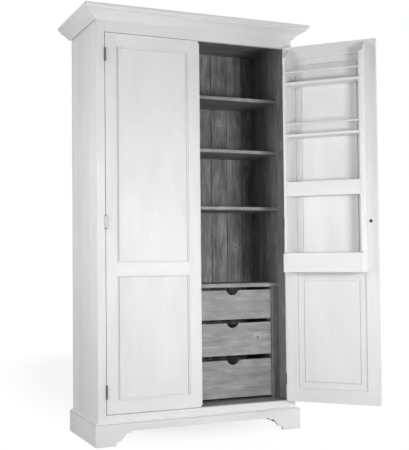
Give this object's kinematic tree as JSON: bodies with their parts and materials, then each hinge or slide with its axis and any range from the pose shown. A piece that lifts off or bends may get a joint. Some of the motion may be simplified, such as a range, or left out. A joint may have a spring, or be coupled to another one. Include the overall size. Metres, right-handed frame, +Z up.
{
  "type": "pantry cupboard",
  "caption": "Tall painted wooden pantry cupboard with panelled double doors, inner shelves, notched drawers and a spice rack on the open right door, under a crown cornice.",
  "frame": {"origin": "on the floor at the middle of the underside of the rear plinth rail", "axes": "+Z up along the height, +Y out of the back towards the wall, +X to the right as seen from the front"},
  "size_m": [1.4217, 0.8688, 2.1],
  "materials": {
    "white_paint": "satin white paint, faint grain",
    "rack_paint": "satin white paint",
    "grey_stained_pine": "grey stained knotty pine, matt",
    "drawer_wood": "grey stained pine, matt",
    "hinge_iron": "dark iron",
    "knob_iron": "dark iron",
    "catch_metal": "dark lacquer"
  },
  "bodies": {
    "carcass": {"side_panel_left": "white_paint", "side_panel_right": "white_paint", "top_board": "grey_stained_pine", "floor_board": "grey_stained_pine", "back_boarding": "grey_stained_pine", "face_stile_left": "white_paint", "face_stile_right": "white_paint", "face_top_rail": "white_paint", "face_bottom_rail": "white_paint", "cornice_front": "white_paint", "cornice_left": "white_paint", "cornice_right": "white_paint", "plinth_front": "white_paint", "plinth_left": "white_paint", "plinth_right": "white_paint", "plinth_back_rail": "white_paint", "shelf_upper": "grey_stained_pine", "shelf_middle": "grey_stained_pine", "shelf_lower": "grey_stained_pine", "drawer_case_top": "grey_stained_pine", "drawer_case_partition": "grey_stained_pine", "drawer_case_side": "grey_stained_pine", "left_door_catch": "catch_metal", "left_hinge_upper_frame_leaf": "hinge_iron", "left_hinge_middle_frame_leaf": "hinge_iron", "left_hinge_lower_frame_leaf": "hinge_iron", "right_hinge_upper_frame_leaf": "hinge_iron", "right_hinge_middle_frame_leaf": "hinge_iron", "right_hinge_lower_frame_leaf": "hinge_iron"},
    "left_door": {"left_door_frame": "white_paint", "left_door_upper_panel": "white_paint", "left_door_lower_panel": "white_paint", "closing_strip": "rack_paint", "left_hinge_upper_door_leaf": "hinge_iron", "left_hinge_middle_door_leaf": "hinge_iron", "left_hinge_lower_door_leaf": "hinge_iron"},
    "right_door": {"right_door_frame": "white_paint", "right_door_upper_panel": "white_paint", "right_door_lower_panel": "white_paint", "door_knob": "knob_iron", "knob_nut": "knob_iron", "rack_side_hinge": "rack_paint", "rack_side_free": "rack_paint", "rack_shelf_1": "rack_paint", "rack_shelf_2": "rack_paint", "rack_tray_shelf": "rack_paint", "rack_bin_shelf": "rack_paint", "rack_rod_1": "rack_paint", "rack_rod_2": "rack_paint", "rack_tray_front": "rack_paint", "rack_bin_front": "rack_paint", "right_hinge_upper_door_leaf": "hinge_iron", "right_hinge_middle_door_leaf": "hinge_iron", "right_hinge_lower_door_leaf": "hinge_iron"},
    "drawer_1": {"drawer_1_front": "drawer_wood", "drawer_1_box": "drawer_wood"},
    "drawer_2": {"drawer_2_front": "drawer_wood", "drawer_2_box": "drawer_wood"},
    "drawer_3": {"drawer_3_front": "drawer_wood", "drawer_3_box": "drawer_wood"}
  },
  "joints": [
    {"name": "left_door_hinge", "type": "hinge", "parent": "carcass", "child": "left_door", "pos_m": [-0.4885, -0.4515, 1.066], "axis": [0, 0, -1], "range_deg": [0, 160]},
    {"name": "right_door_hinge", "type": "hinge", "parent": "carcass", "child": "right_door", "pos_m": [0.4885, -0.4515, 1.066], "axis": [0, 0, 1], "range_deg": [-133, 27]},
    {"name": "drawer_1_slide", "type": "slide", "parent": "carcass", "child": "drawer_1", "axis": [0, -1, 0], "range_m": [0, 0.24]},
    {"name": "drawer_2_slide", "type": "slide", "parent": "carcass", "child": "drawer_2", "axis": [0, -1, 0], "range_m": [0, 0.24]},
    {"name": "drawer_3_slide", "type": "slide", "parent": "carcass", "child": "drawer_3", "axis": [0, -1, 0], "range_m": [0, 0.24]}
  ]
}
